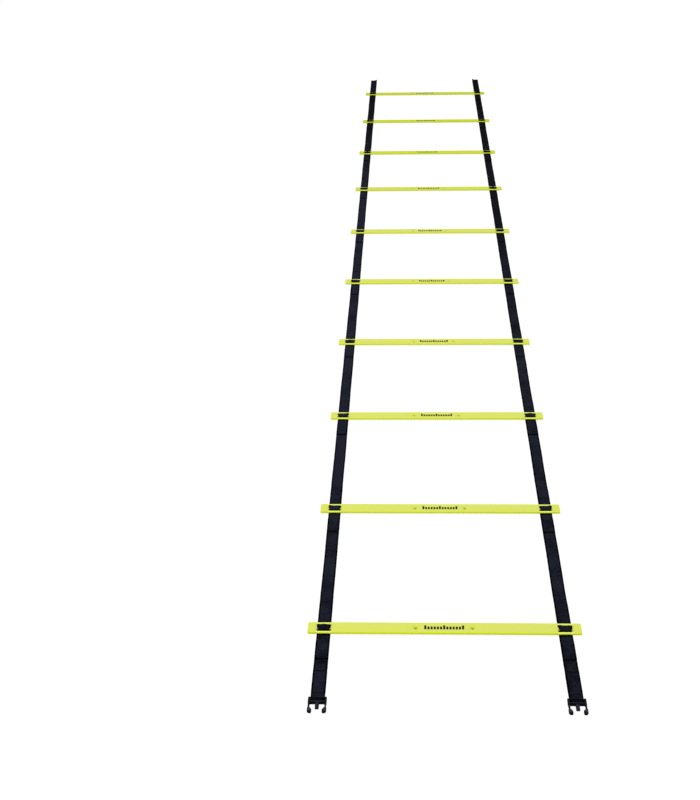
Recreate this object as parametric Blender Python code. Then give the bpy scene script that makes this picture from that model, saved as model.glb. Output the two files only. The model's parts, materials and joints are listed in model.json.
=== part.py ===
"""Agility ladder: ten flat rungs on two webbing straps, with a side-release plug on each near end.

The ladder lies open on the ground, +Z up. Y runs along it, with the plugs at the -Y end, and X runs
across it. The origin is on the ground, midway between the two ends and between the two straps.

Each strap is one length of webbing. It is modelled in sections that end midway between two rungs,
because that is where it bends when the ladder is folded up, rung on rung. A shorter piece of
webbing, the keeper, is sewn to the strap on both sides of each rung and passes through its slots.
"""

import math

import bmesh
import bpy

# Ladder
RUNG_COUNT = 10
RUNG_SPACING = 0.450
STRAP_SPAN = 0.441
CLEARANCE = 0.0003
SECTION_GAP = 0.0003

# Straps
STRAP_WIDTH = 0.025
STRAP_THICKNESS = 0.0015
FAR_REACH = 0.260
TAIL_LENGTH = 0.0814
TAIL_STEP_LENGTH = 0.014
TAIL_STEP_RADIUS = 0.012
TAIL_TO_KEEPER = 0.0216

# Keepers
KEEPER_RUN = 0.076
KEEPER_THICKNESS = 0.0015

# Rungs
RUNG_END_LENGTH = 0.016
RUNG_THICKNESS = 0.004
RUNG_CORNER_RADIUS = 0.004
RUNG_EDGE = 0.0006
OUTER_BAR_DEPTH = 0.006
CENTRE_BAR_DEPTH = 0.008
SLOT_PLAY = 0.00275
SLOT_SIDE_PLAY = 0.001
SLOT_CORNER_RADIUS = 0.0015
DIMPLE_OFFSET = 0.052
DIMPLE_DIAMETER = 0.009
DIMPLE_DEPTH = 0.0006
DIMPLE_TAPER = 0.0006

# Fold axes
FOLD_TOP_CLEARANCE = 0.0006
FOLD_BOTTOM_CLEARANCE = 0.0005

# Plug base
RAIL_WIDTH = 0.0032
RAIL_COVER = 0.0004
PLUG_CORNER_RADIUS = 0.0022
PLUG_EDGE = 0.0006
WINDOW_SIDE_PLAY = 0.0005
REAR_BAR_DEPTH = 0.0024
REAR_BAR_HEIGHT = 0.0020
REAR_BAR_SETBACK = 0.0004
REAR_SLOT_PLAY = 0.0009
MIDDLE_BAR_DEPTH = 0.0028
MIDDLE_BAR_HEIGHT = 0.0019
FRONT_SLOT_PLAY = 0.0006
NOSE_DEPTH = 0.0034
NOSE_RIB_DEPTH = 0.0014
NOSE_RIB_RISE = 0.0005
BAR_OVERLAP = 0.0010

# Plug prong
PRONG_WIDTH = 0.0064
PRONG_LENGTH = 0.0154
PRONG_HEIGHT = 0.0034
PRONG_EDGE = 0.0008

# Plug arms
ARM_INSET = 0.0020
ARM_NECK_WIDTH = 0.0020
ARM_HEIGHT = 0.0042
ARM_EDGE = 0.0007
HEAD_OUTER_REACH = 0.0021
HEAD_INNER_REACH = 0.0052
HEAD_START = 0.0120
HEAD_LENGTH = 0.0132

# Steps round curves
CORNER_STEPS = 3
SLOT_CORNER_STEPS = 2
WEBBING_STEPS = 4
DIMPLE_STEPS = 12
ROOT_STEPS = 4
SMOOTH_STEPS = 2

# A corner that a chamfer would use up keeps this share of its radius
LEAST_CORNER_SHARE = 0.2
BAR_CORNER_SHARE = 0.3

# Points round the head of an arm, from the neck's outer side to its inner side. Each is a share of
# the head's outer or inner reach, positive outwards, and a share of the head's length.
HEAD_OUTER_SHARES = ((0.72, 0.00), (1.00, 0.12), (1.00, 0.42), (0.50, 0.74))
HEAD_TIP_SHARES = ((-0.08, 0.93), (-0.38, 1.00), (-0.74, 0.97), (-0.96, 0.80))
HEAD_INNER_SHARES = ((-1.00, 0.55), (-0.92, 0.32), (-0.68, 0.13), (-0.36, 0.01))

# Levels of what is stacked on the ground
keeper_bottom = STRAP_THICKNESS + CLEARANCE
rung_bottom = keeper_bottom + KEEPER_THICKNESS + CLEARANCE
rung_top = rung_bottom + RUNG_THICKNESS
keeper_crown = rung_top + CLEARANCE + KEEPER_THICKNESS
fold_top_z = keeper_crown + FOLD_TOP_CLEARANCE
fold_bottom_z = -FOLD_BOTTOM_CLEARANCE

# Rungs and keepers
slot_length = STRAP_WIDTH + 2 * SLOT_SIDE_PLAY
slot_depth = KEEPER_THICKNESS + 2 * SLOT_PLAY
slot_offset = CENTRE_BAR_DEPTH / 2 + slot_depth / 2
rung_depth = CENTRE_BAR_DEPTH + 2 * (slot_depth + OUTER_BAR_DEPTH)
rung_length = STRAP_SPAN + slot_length + 2 * RUNG_END_LENGTH
keeper_length = rung_depth + 2 * KEEPER_RUN

# Plug. The strap runs under the rear bar on top of its own tail, and loops round the middle bar.
strap_on_tail = 2 * (STRAP_THICKNESS + CLEARANCE)
middle_bar_bottom = STRAP_THICKNESS + CLEARANCE
strap_over_bar = middle_bar_bottom + MIDDLE_BAR_HEIGHT + CLEARANCE + STRAP_THICKNESS / 2
loop_radius = (strap_over_bar - STRAP_THICKNESS / 2) / 2
plug_width = STRAP_WIDTH + 2 * (WINDOW_SIDE_PLAY + RAIL_WIDTH)
plug_height = strap_on_tail + REAR_BAR_HEIGHT + RAIL_COVER
rear_slot_depth = STRAP_THICKNESS + 2 * REAR_SLOT_PLAY
front_slot_depth = loop_radius + STRAP_THICKNESS / 2 + FRONT_SLOT_PLAY
plug_depth = (
    REAR_BAR_SETBACK + REAR_BAR_DEPTH + rear_slot_depth + MIDDLE_BAR_DEPTH + front_slot_depth + NOSE_DEPTH
)
arm_axis_reach = CLEARANCE + ARM_NECK_WIDTH / 2
arm_length = arm_axis_reach + HEAD_START + HEAD_LENGTH

# Places along the ladder
near_reach = keeper_length / 2 + TAIL_TO_KEEPER + TAIL_STEP_LENGTH + TAIL_LENGTH
near_length = near_reach + plug_depth + arm_length
total_length = near_length + (RUNG_COUNT - 1) * RUNG_SPACING + FAR_REACH
first_rung_y = near_length - total_length / 2
plug_rear_y = first_rung_y - near_reach
plug_front_y = plug_rear_y - plug_depth
middle_bar_rear_y = plug_rear_y - REAR_BAR_SETBACK - REAR_BAR_DEPTH - rear_slot_depth

SIDES = (("left", -1), ("right", 1))

COLOURS = {
    "webbing": ((0.011, 0.012, 0.021, 1.0), 0.85),
    "rung": ((0.66, 0.76, 0.10, 1.0), 0.42),
    "plug": ((0.007, 0.007, 0.011, 1.0), 0.40),
}


def clear_scene():
    """Remove every object, so that the model starts from nothing."""
    for old in list(bpy.data.objects):
        bpy.data.objects.remove(old, do_unlink=True)


def make_material(name):
    """A plain material with the piece's colour and roughness."""
    colour, roughness = COLOURS[name]
    material = bpy.data.materials.new(name)
    material.use_nodes = True
    shader = material.node_tree.nodes["Principled BSDF"]
    shader.inputs["Base Color"].default_value = colour
    shader.inputs["Roughness"].default_value = roughness
    shader.inputs["Metallic"].default_value = 0.0
    material.diffuse_color = colour
    return material


def make_object(name, bm, origin, parent, material):
    """Put a mesh drawn in world places into an object whose origin is at the given place."""
    bmesh.ops.recalc_face_normals(bm, faces=bm.faces)
    for vert in bm.verts:
        vert.co = [place - start for place, start in zip(vert.co, origin)]
    mesh = bpy.data.meshes.new(name)
    bm.to_mesh(mesh)
    bm.free()
    if material:
        mesh.materials.append(material)
    piece = bpy.data.objects.new(name, mesh)
    bpy.context.collection.objects.link(piece)
    set_under(piece, origin, parent)
    return piece


def set_under(piece, origin, parent):
    """Stand a piece at a world place, under a parent that is neither turned nor scaled."""
    start = world_place(parent)
    piece.parent = parent
    piece.location = [place - base for place, base in zip(origin, start)]


def world_place(piece):
    """Where an object stands in the world, from its own location and its parents'."""
    place = [0, 0, 0]
    while piece:
        place = [total + step for total, step in zip(place, piece.location)]
        piece = piece.parent
    return place


def make_empty(name, origin, parent):
    """A frame to hang a section's pieces from, placed on the axis that it turns about."""
    empty = bpy.data.objects.new(name, None)
    bpy.context.collection.objects.link(empty)
    set_under(empty, origin, parent)
    return empty


def rounded_rectangle(middle, width, depth, radius, inset, steps=CORNER_STEPS):
    """Points round a rectangle with its corners as arcs, drawn in by inset, or out where that is negative."""
    turn = max(radius - inset, radius * LEAST_CORNER_SHARE)
    half_x = width / 2 - inset - turn
    half_y = depth / 2 - inset - turn
    points = []
    for quarter, (side_x, side_y) in enumerate(((1, 1), (-1, 1), (-1, -1), (1, -1))):
        for step in range(steps + 1):
            angle = math.pi / 2 * (quarter + step / steps)
            x = middle[0] + side_x * half_x + turn * math.cos(angle)
            y = middle[1] + side_y * half_y + turn * math.sin(angle)
            points.append((x, y))
    return points


def circle(middle, radius, inset):
    """Points round a circle, drawn in by inset."""
    angles = [2 * math.pi * step / DIMPLE_STEPS for step in range(DIMPLE_STEPS)]
    reach = radius - inset
    return [(middle[0] + reach * math.cos(a), middle[1] + reach * math.sin(a)) for a in angles]


def add_ring(bm, points, z):
    """A closed ring of vertices at one height."""
    return [bm.verts.new((x, y, z)) for x, y in points]


def add_wall(bm, rings):
    """Faces between each ring and the next."""
    for lower, upper in zip(rings, rings[1:]):
        for one in range(len(lower)):
            two = (one + 1) % len(lower)
            bm.faces.new((lower[one], lower[two], upper[two], upper[one]))


def fill_between(bm, rings):
    """A flat face inside the first ring and outside the others."""
    edges = []
    for ring in rings:
        for one in range(len(ring)):
            edges.append(bm.edges.get((ring[one], ring[(one + 1) % len(ring)])))
    bmesh.ops.triangle_fill(bm, use_beauty=True, edges=edges)


def add_plate(bm, outlines, bottom, top, edge, pits=()):
    """A flat plate with chamfered edges. outlines gives, for the outside and then each hole, a
    function from an inset to points. Each pit is a shallow hollow in the top: a function and a depth."""
    levels = ((bottom, edge), (bottom + edge, 0), (top - edge, 0), (top, edge))
    lower_rings = []
    upper_rings = []
    for number, outline in enumerate(outlines):
        inward = 1 if number == 0 else -1
        rings = [add_ring(bm, outline(inward * inset), z) for z, inset in levels]
        add_wall(bm, rings)
        lower_rings.append(rings[0])
        upper_rings.append(rings[-1])
    for pit, depth, taper in pits:
        rings = [add_ring(bm, pit(0), top), add_ring(bm, pit(taper), top - depth)]
        add_wall(bm, rings)
        bm.faces.new(rings[1])
        upper_rings.append(rings[0])
    fill_between(bm, lower_rings)
    fill_between(bm, upper_rings)


def rounded_route(corners, radii):
    """A route through the corners, each interior one turned with an arc of its radius."""
    route = [corners[0]]
    for before, corner, after, radius in zip(corners, corners[1:], corners[2:], radii):
        heading_in = math.atan2(corner[1] - before[1], corner[0] - before[0])
        heading_out = math.atan2(after[1] - corner[1], after[0] - corner[0])
        turn = math.remainder(heading_out - heading_in, 2 * math.pi)
        side = math.copysign(1, turn)
        back = radius * math.tan(abs(turn) / 2)
        start_y = corner[0] - back * math.cos(heading_in)
        start_z = corner[1] - back * math.sin(heading_in)
        centre_y = start_y - side * radius * math.sin(heading_in)
        centre_z = start_z + side * radius * math.cos(heading_in)
        steps = max(1, round(WEBBING_STEPS * abs(turn) / (math.pi / 2)))
        for step in range(steps + 1):
            angle = heading_in + turn * step / steps
            y = centre_y + side * radius * math.sin(angle)
            z = centre_z - side * radius * math.cos(angle)
            if math.dist(route[-1], (y, z)) > radius * LEAST_CORNER_SHARE / WEBBING_STEPS:
                route.append((y, z))
    route.append(corners[-1])
    return route


def add_strip(bm, route, middle_x, width, thickness):
    """Webbing laid along a route in the YZ plane, as wide as width and as thick as thickness."""
    rings = []
    last = len(route) - 1
    for number, (y, z) in enumerate(route):
        before = route[max(number - 1, 0)]
        after = route[min(number + 1, last)]
        run = math.dist(before, after)
        off_y = -(after[1] - before[1]) / run * thickness / 2
        off_z = (after[0] - before[0]) / run * thickness / 2
        corners = ((-1, -1), (1, -1), (1, 1), (-1, 1))
        ring = []
        for side, face in corners:
            place = (middle_x + side * width / 2, y + face * off_y, z + face * off_z)
            ring.append(bm.verts.new(place))
        rings.append(ring)
    add_wall(bm, rings)
    bm.faces.new(rings[0])
    bm.faces.new(rings[-1])


def rung_y(number):
    """The place of a rung along the ladder. The first is the one by the plugs."""
    return first_rung_y + (number - 1) * RUNG_SPACING


def fold_y(number):
    """The place of the fold after the section of this number, midway between two rungs."""
    return rung_y(number) + RUNG_SPACING / 2


def fold_z(number):
    """A fold goes over the top of the rungs at each odd section, and under the straps at each even one."""
    return fold_top_z if number % 2 else fold_bottom_z


def make_rung(number, parent, material):
    """A flat moulded rung with two slots at each end and two shallow round dimples."""
    y = rung_y(number)
    outlines = [lambda inset: rounded_rectangle((0, y), rung_length, rung_depth, RUNG_CORNER_RADIUS, inset)]
    for _, side in SIDES:
        for toward in (-1, 1):
            middle = (side * STRAP_SPAN / 2, y + toward * slot_offset)
            outlines.append(
                lambda inset, middle=middle: rounded_rectangle(
                    middle, slot_length, slot_depth, SLOT_CORNER_RADIUS, inset, SLOT_CORNER_STEPS
                )
            )
    pits = []
    for _, side in SIDES:
        middle = (side * DIMPLE_OFFSET, y)
        pits.append(
            (
                lambda inset, middle=middle: circle(middle, DIMPLE_DIAMETER / 2, inset),
                DIMPLE_DEPTH,
                DIMPLE_TAPER,
            )
        )
    bm = bmesh.new()
    add_plate(bm, outlines, rung_bottom, rung_top, RUNG_EDGE, pits)
    return make_object(f"rung_{number:02d}", bm, (0, y, rung_bottom), parent, material)


def make_keeper(number, side_name, side, parent, material):
    """Webbing sewn to the strap at both ends. It runs under the rung's outer bars and up through
    its slots, over the bar between them."""
    y = rung_y(number)
    low = keeper_bottom + KEEPER_THICKNESS / 2
    high = keeper_crown - KEEPER_THICKNESS / 2
    reach = keeper_length / 2
    corners = [
        (y - reach, low),
        (y - slot_offset, low),
        (y - slot_offset, high),
        (y + slot_offset, high),
        (y + slot_offset, low),
        (y + reach, low),
    ]
    bend = min(high - low, slot_depth) / 2
    bm = bmesh.new()
    add_strip(bm, rounded_route(corners, [bend] * 4), side * STRAP_SPAN / 2, STRAP_WIDTH, KEEPER_THICKNESS)
    name = f"keeper_{side_name}_{number:02d}"
    return make_object(name, bm, (side * STRAP_SPAN / 2, y, low), parent, material)


def plain_route(number):
    """The flat run of a strap's section, from its near end to its far end."""
    middle = STRAP_THICKNESS / 2
    near = fold_y(number - 1) + SECTION_GAP / 2
    last = number == RUNG_COUNT
    far = rung_y(number) + FAR_REACH if last else fold_y(number) - SECTION_GAP / 2
    return [(near, middle), (far, middle)]


def end_route():
    """The first section's run: along the ground, up onto its own tail, under the plug's rear bar, over
    and round its middle bar, and back under itself."""
    ground = STRAP_THICKNESS / 2
    upper = ground + STRAP_THICKNESS + CLEARANCE
    tail_y = plug_rear_y + TAIL_LENGTH
    rise_y = middle_bar_rear_y + rear_slot_depth / 2
    loop_y = middle_bar_rear_y - MIDDLE_BAR_DEPTH - loop_radius
    rise_bend = min(strap_over_bar - upper, rear_slot_depth) / 2
    corners = [
        (fold_y(1) - SECTION_GAP / 2, ground),
        (tail_y + TAIL_STEP_LENGTH, ground),
        (tail_y, upper),
        (rise_y, upper),
        (rise_y, strap_over_bar),
        (loop_y, strap_over_bar),
        (loop_y, ground),
        (tail_y, ground),
    ]
    radii = [TAIL_STEP_RADIUS, TAIL_STEP_RADIUS, rise_bend, rise_bend, loop_radius, loop_radius]
    return rounded_route(corners, radii)


def make_strap(number, side_name, side, origin, parent, material):
    """One section of a strap, from one fold to the next."""
    route = end_route() if number == 1 else plain_route(number)
    bm = bmesh.new()
    add_strip(bm, route, side * STRAP_SPAN / 2, STRAP_WIDTH, STRAP_THICKNESS)
    name = f"strap_{side_name}_{number:02d}"
    place = (side * STRAP_SPAN / 2, origin[1], origin[2])
    return make_object(name, bm, place, parent, material)


def make_cutter(name, bm, place, parent):
    """A shape that is joined to another by a Boolean and isn't a piece by itself."""
    piece = make_object(name, bm, place, parent, None)
    piece.hide_render = True
    piece.display_type = "WIRE"
    return piece


def add_bar(bm, middle_x, length, middle_y, depth, bottom, height):
    """A bar across the plug, with the long edges of its section rounded."""
    radius = min(depth, height) * BAR_CORNER_SHARE
    section = rounded_rectangle((middle_y, bottom + height / 2), depth, height, radius, 0)
    rings = []
    for side in (-1, 1):
        rings.append([bm.verts.new((middle_x + side * length / 2, y, z)) for y, z in section])
    add_wall(bm, rings)
    bm.faces.new(rings[0])
    bm.faces.new(rings[1])


def frame_outline(middle_x, inset):
    """The plug's two rails and the nose that joins them, as a U that is open towards the strap."""
    rear = plug_rear_y - inset
    front = plug_front_y + inset
    nose = plug_front_y + NOSE_DEPTH - inset
    outer = plug_width / 2 - inset
    inner = STRAP_WIDTH / 2 + WINDOW_SIDE_PLAY + inset
    turn = PLUG_CORNER_RADIUS - inset
    corner = min(turn, (outer - inner) / 2)
    points = []
    for side in (1, -1):
        half = []
        for step in range(CORNER_STEPS + 1):
            angle = math.pi / 2 * step / CORNER_STEPS
            half.append((outer - turn + turn * math.sin(angle), front + turn - turn * math.cos(angle)))
        for step in range(CORNER_STEPS + 1):
            angle = math.pi / 2 * step / CORNER_STEPS
            half.append((outer - corner + corner * math.cos(angle), rear - corner + corner * math.sin(angle)))
        half.append((inner, rear))
        half.append((inner, nose))
        ordered = half if side == 1 else reversed(half)
        points += [(middle_x + side * x, y) for x, y in ordered]
    return points


def make_plug(side_name, side, parent, material):
    """The plug's base: two rails, a nose with a centre prong, a raised rear bar and a low middle bar."""
    middle_x = side * STRAP_SPAN / 2
    nose_y = plug_front_y + NOSE_DEPTH / 2
    place = (middle_x, nose_y, 0)
    name = f"plug_{side_name}"
    bm = bmesh.new()
    add_plate(bm, [lambda inset: frame_outline(middle_x, inset)], 0, plug_height, PLUG_EDGE)
    plug = make_object(name, bm, place, parent, material)

    window = STRAP_WIDTH + 2 * WINDOW_SIDE_PLAY
    bar_length = window + 2 * BAR_OVERLAP
    rear_y = plug_rear_y - REAR_BAR_SETBACK - REAR_BAR_DEPTH / 2
    middle_y = middle_bar_rear_y - MIDDLE_BAR_DEPTH / 2
    prong_z = plug_height / 2 - PRONG_HEIGHT / 2
    prong_length = PRONG_LENGTH + BAR_OVERLAP
    prong_y = plug_front_y + BAR_OVERLAP - prong_length / 2
    rib_z = plug_height - BAR_OVERLAP
    rib_height = BAR_OVERLAP + NOSE_RIB_RISE

    shapes = {}
    shapes["rear_bar"] = bmesh.new()
    add_bar(shapes["rear_bar"], middle_x, bar_length, rear_y, REAR_BAR_DEPTH, strap_on_tail, REAR_BAR_HEIGHT)
    shapes["middle_bar"] = bmesh.new()
    add_bar(
        shapes["middle_bar"],
        middle_x,
        bar_length,
        middle_y,
        MIDDLE_BAR_DEPTH,
        middle_bar_bottom,
        MIDDLE_BAR_HEIGHT,
    )
    shapes["nose_rib"] = bmesh.new()
    add_bar(shapes["nose_rib"], middle_x, STRAP_WIDTH, nose_y, NOSE_RIB_DEPTH, rib_z, rib_height)
    shapes["prong"] = bmesh.new()
    add_plate(
        shapes["prong"],
        [
            lambda inset: rounded_rectangle(
                (middle_x, prong_y), PRONG_WIDTH, prong_length, PRONG_EDGE * 2, inset
            )
        ],
        prong_z,
        prong_z + PRONG_HEIGHT,
        PRONG_EDGE,
    )
    for shape_name, shape in shapes.items():
        join = plug.modifiers.new(shape_name, "BOOLEAN")
        join.operation = "UNION"
        join.solver = "EXACT"
        join.object = make_cutter(f"{name}_{shape_name}", shape, place, parent)
    return plug


def smooth_points(points):
    """A curve through the points, by Catmull and Rom's formula, with the ends held."""
    padded = [points[0], *points, points[-1]]
    curve = []
    for a, b, c, d in zip(padded, padded[1:], padded[2:], padded[3:]):
        for step in range(SMOOTH_STEPS):
            t = step / SMOOTH_STEPS
            place = []
            for p, q, r, s in zip(a, b, c, d):
                bend = (2 * p - 5 * q + 4 * r - s) * t**2 + (3 * q - p - 3 * r + s) * t**3
                place.append(q + ((r - p) * t + bend) / 2)
            curve.append(tuple(place))
    curve.append(points[-1])
    return curve


def arm_outline(middle_x, axis_y, outward, inset):
    """Round an arm: a half round root about its axis, a thin neck, and the hooked head at its tip."""
    half = ARM_NECK_WIDTH / 2
    head = []
    for across, along in HEAD_OUTER_SHARES:
        head.append((half + across * (HEAD_OUTER_REACH - half), HEAD_START + along * HEAD_LENGTH))
    for across, along in HEAD_TIP_SHARES + HEAD_INNER_SHARES:
        head.append((across * HEAD_INNER_REACH, HEAD_START + along * HEAD_LENGTH))
    neck_end = HEAD_START - ARM_NECK_WIDTH
    outline = smooth_points([(half, neck_end), *head, (-half, neck_end)])
    for step in range(ROOT_STEPS + 1):
        angle = math.pi * step / ROOT_STEPS
        outline.append((-half * math.cos(angle), -half * math.sin(angle)))
    last = len(outline) - 1
    points = []
    for number, (across, along) in enumerate(outline):
        before = outline[number - 1]
        after = outline[0 if number == last else number + 1]
        run = math.dist(before, after)
        off_x = (after[1] - before[1]) / run * inset
        off_y = (after[0] - before[0]) / run * inset
        points.append((middle_x + outward * (across - off_x), axis_y - (along + off_y)))
    return points


def make_arm(side_name, side, edge_name, outward, parent, material):
    """One spring arm of a plug, with its root on the axis that it flexes about."""
    middle_x = side * STRAP_SPAN / 2 + outward * (plug_width / 2 - ARM_INSET)
    axis_y = plug_front_y - arm_axis_reach
    bottom = plug_height / 2 - ARM_HEIGHT / 2
    bm = bmesh.new()
    outline = [lambda inset: arm_outline(middle_x, axis_y, outward, inset)]
    add_plate(bm, outline, bottom, bottom + ARM_HEIGHT, ARM_EDGE)
    name = f"plug_{side_name}_{edge_name}_arm"
    return make_object(name, bm, (middle_x, axis_y, bottom), parent, material)


def build():
    """Every piece of the ladder, section by section from the plugs."""
    clear_scene()
    webbing = make_material("webbing")
    yellow = make_material("rung")
    black = make_material("plug")
    parent = None
    for number in range(1, RUNG_COUNT + 1):
        origin = (0, fold_y(number - 1), fold_z(number - 1) if number > 1 else 0)
        section = make_empty(f"section_{number:02d}", origin, parent)
        make_rung(number, section, yellow)
        for side_name, side in SIDES:
            make_strap(number, side_name, side, origin, section, webbing)
            make_keeper(number, side_name, side, section, webbing)
            if number == 1:
                make_plug(side_name, side, section, black)
                for edge_name, outward in (("inner", -side), ("outer", side)):
                    make_arm(side_name, side, edge_name, outward, section, black)
        parent = section


build()
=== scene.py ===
"""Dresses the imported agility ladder: webbing, moulded rungs, sewn seams and side-release plugs, on a
white stage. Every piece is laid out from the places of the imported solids, in metres."""

import json
import math

import bpy
import numpy as np
from mathutils import Matrix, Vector
from mathutils.geometry import delaunay_2d_cdt


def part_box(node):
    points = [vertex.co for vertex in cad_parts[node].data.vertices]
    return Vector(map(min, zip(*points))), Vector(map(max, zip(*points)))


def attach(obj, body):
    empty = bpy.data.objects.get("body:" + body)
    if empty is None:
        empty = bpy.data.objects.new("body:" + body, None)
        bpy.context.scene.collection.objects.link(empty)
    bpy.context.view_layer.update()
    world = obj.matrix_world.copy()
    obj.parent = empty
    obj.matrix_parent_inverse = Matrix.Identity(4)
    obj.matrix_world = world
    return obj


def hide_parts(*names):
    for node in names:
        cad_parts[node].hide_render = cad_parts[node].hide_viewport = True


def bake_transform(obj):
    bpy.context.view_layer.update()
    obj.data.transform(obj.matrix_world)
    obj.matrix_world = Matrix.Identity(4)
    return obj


bl_info = {
    "name": "Agility Ladder",
    "version": (1, 0, 0),
    "blender": (4, 5, 0),
    "location": "3D View > Sidebar > Ladder",
    "description": "Webbing, moulded rungs, seams and side-release plugs of a flat agility ladder",
    "category": "Add Mesh",
}

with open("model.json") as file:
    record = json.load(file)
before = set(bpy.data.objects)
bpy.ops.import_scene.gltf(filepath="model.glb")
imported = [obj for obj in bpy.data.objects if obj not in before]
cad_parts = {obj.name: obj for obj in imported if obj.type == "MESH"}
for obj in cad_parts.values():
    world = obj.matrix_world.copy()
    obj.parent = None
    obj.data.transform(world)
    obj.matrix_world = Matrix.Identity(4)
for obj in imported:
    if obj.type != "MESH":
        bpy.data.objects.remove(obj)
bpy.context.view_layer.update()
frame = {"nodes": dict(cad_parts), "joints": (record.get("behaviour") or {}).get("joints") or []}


def node_box(node):
    """The lowest and highest corner of a solid, as rows."""
    return np.array(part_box(node))


# What the solids say
SIDES = (("left", -1), ("right", 1))
RUNGS = sum(name.startswith("rung_") for name in frame["nodes"])
RUNG_LOW, RUNG_HIGH = node_box("rung_01")
RUNG_SIZE = RUNG_HIGH - RUNG_LOW
RUNG_PLACES = [node_box(f"rung_{number:02d}").mean(0)[1] for number in range(1, RUNGS + 1)]
SPACING = RUNG_PLACES[1] - RUNG_PLACES[0]
STRAP_LOW, STRAP_HIGH = node_box("strap_right_02")
STRAP_X = (STRAP_LOW[0] + STRAP_HIGH[0]) / 2
FAR_END = node_box("strap_right_10")[1][1]
KEEPER_LOW, KEEPER_HIGH = node_box("keeper_right_01")
KEEPER_REACH = (KEEPER_HIGH[1] - KEEPER_LOW[1]) / 2
PLUG_LOW, PLUG_HIGH = node_box("plug_right")
PLUG_WIDTH = PLUG_HIGH[0] - PLUG_LOW[0]
PLUG_REAR = PLUG_HIGH[1]
FOLDS = {joint["name"]: joint["pos_m"] for joint in frame["joints"] if joint["name"].startswith("fold_")}

# How the webbing lies: the gap between layers, half its width, the length over which its waves set in,
# the folded tail, the rows of stitches on the tail and the keepers, and how they press and bow it
PLAY = 0.0003
HALF_WIDTH = 0.0125
FADE = 0.04
TAIL_END = PLUG_REAR + 0.0814
TAIL_STEP = 0.0140
NEAR_ROWS = (TAIL_END - 0.0006, TAIL_END - 0.0030, PLUG_REAR + 0.0138)
SEAM_ROWS = (0.0903, 0.0915)
TAIL_PRESS = 0.00025
SEAM_PRESS = 0.00018
SEAM_BOW = 0.0012

# The most that half the webbing in a fold may measure
BEND_LIMIT = 0.0035

# Which ends of a strip of webbing are cut ones, and how thick a cut end is for the webbing's thickness
MEETS = (False, False)
CUT_LAST = (False, True)
CUT_SHARE = 0.55

# The radius with which a strap steps up onto its tail, how much further out a keeper comes up through
# the far slot than through the near one, and how high it is crowned over the bar between them
STEP_RADIUS = 0.012
FAR_SHIFT = 0.0006
CROWN_RISE = 0.00022

# How the straps' far ends curl: over what length, and how high their middle and their outer corner rise
CURL_LENGTH = 0.035
CURL_RISE = 0.0008
CORNER_RISE = 0.0040

# How far a rung's edges are rounded at its slots: inwards, and in height there and on the outer bars
SLOT_EDGE = 0.0012
SLOT_RISE = 0.0011
BAR_RISE = 0.0019

# How far the printed ticks stand up from the rung
PRINT_RISE = 0.00004

# Width of the flat ring inside a rounded edge, and the angle above which an edge looks sharp
LEDGE = 0.00015
SHARP = math.radians(38.0)

# How bright the floor's white is, and how much of it the camera sees instead of the lit floor
FLOOR_WHITE = 1.13
FLOOR_SHARE = 0.80


def length(default, name, description):
    """A length that a user may change."""
    return bpy.props.FloatProperty(
        name=name, description=description, default=float(default), min=0.0, precision=5,
        subtype="DISTANCE", unit="LENGTH",
    )


def angle(degrees, name, description):
    """An angle that a user may change."""
    return bpy.props.FloatProperty(
        name=name, description=description, default=math.radians(degrees), subtype="ANGLE",
        unit="ROTATION",
    )


def colour(default, name, description):
    """A colour that a user may change."""
    return bpy.props.FloatVectorProperty(
        name=name, description=description, default=default, size=3, min=0.0, max=1.0, subtype="COLOR",
    )


def amount(default, name, description):
    """A plain number that a user may change."""
    return bpy.props.FloatProperty(name=name, description=description, default=default, min=0.0)


class LadderWebbing(bpy.types.PropertyGroup):
    """Sizes and colours of the straps, keepers and thread."""

    width: length(STRAP_HIGH[0] - STRAP_LOW[0], "Width", "Width of the webbing")
    thickness: length(STRAP_HIGH[2] - STRAP_LOW[2], "Thickness", "Thickness of the webbing")
    yarn_across: length(0.00125, "Warp pitch", "Distance between two yarns across the webbing")
    yarn_along: length(0.00165, "Weft pitch", "Distance between two rows along the webbing")
    spread: length(0.0005, "Spread", "How much wider the woven edges stand than the width")
    selvage: length(0.0030, "Selvage", "Width of the dark firm edge")
    lift: length(0.0005, "Lift", "How far the free strap rises and falls on the ground")
    bridge_push: length(0.0024, "Bridge push", "How far the keeper leans over the far bar of its slot")
    pinch: length(0.0021, "Pinch", "How much the near slot narrows each edge of the keeper")
    thread: length(0.00055, "Thread", "Thickness of the sewing thread")
    stitch: length(0.0021, "Stitch", "Length of a stitch")
    stitch_pitch: length(0.0026, "Stitch pitch", "Distance from one stitch to the next")
    yarn_colour: colour((0.0132, 0.0147, 0.0258), "Yarn", "Colour of the yarns' crowns")
    # The gaps' colour is a painted shade between the yarns.
    gap_shade_colour: colour((0.0020, 0.0022, 0.0042), "Gaps", "Colour between the yarns")
    # The selvage colour is also the painted shade at the rows of stitches, the keepers' cut ends, under the
    # rungs, in the slots, inside the plugs and in the thread's grooves.
    edge_and_shade_colour: colour((0.0002, 0.0002, 0.0004), "Selvage colour", "Colour of the firm edge")
    thread_colour: colour((0.0030, 0.0030, 0.0046), "Thread colour", "Colour of the thread")


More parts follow.
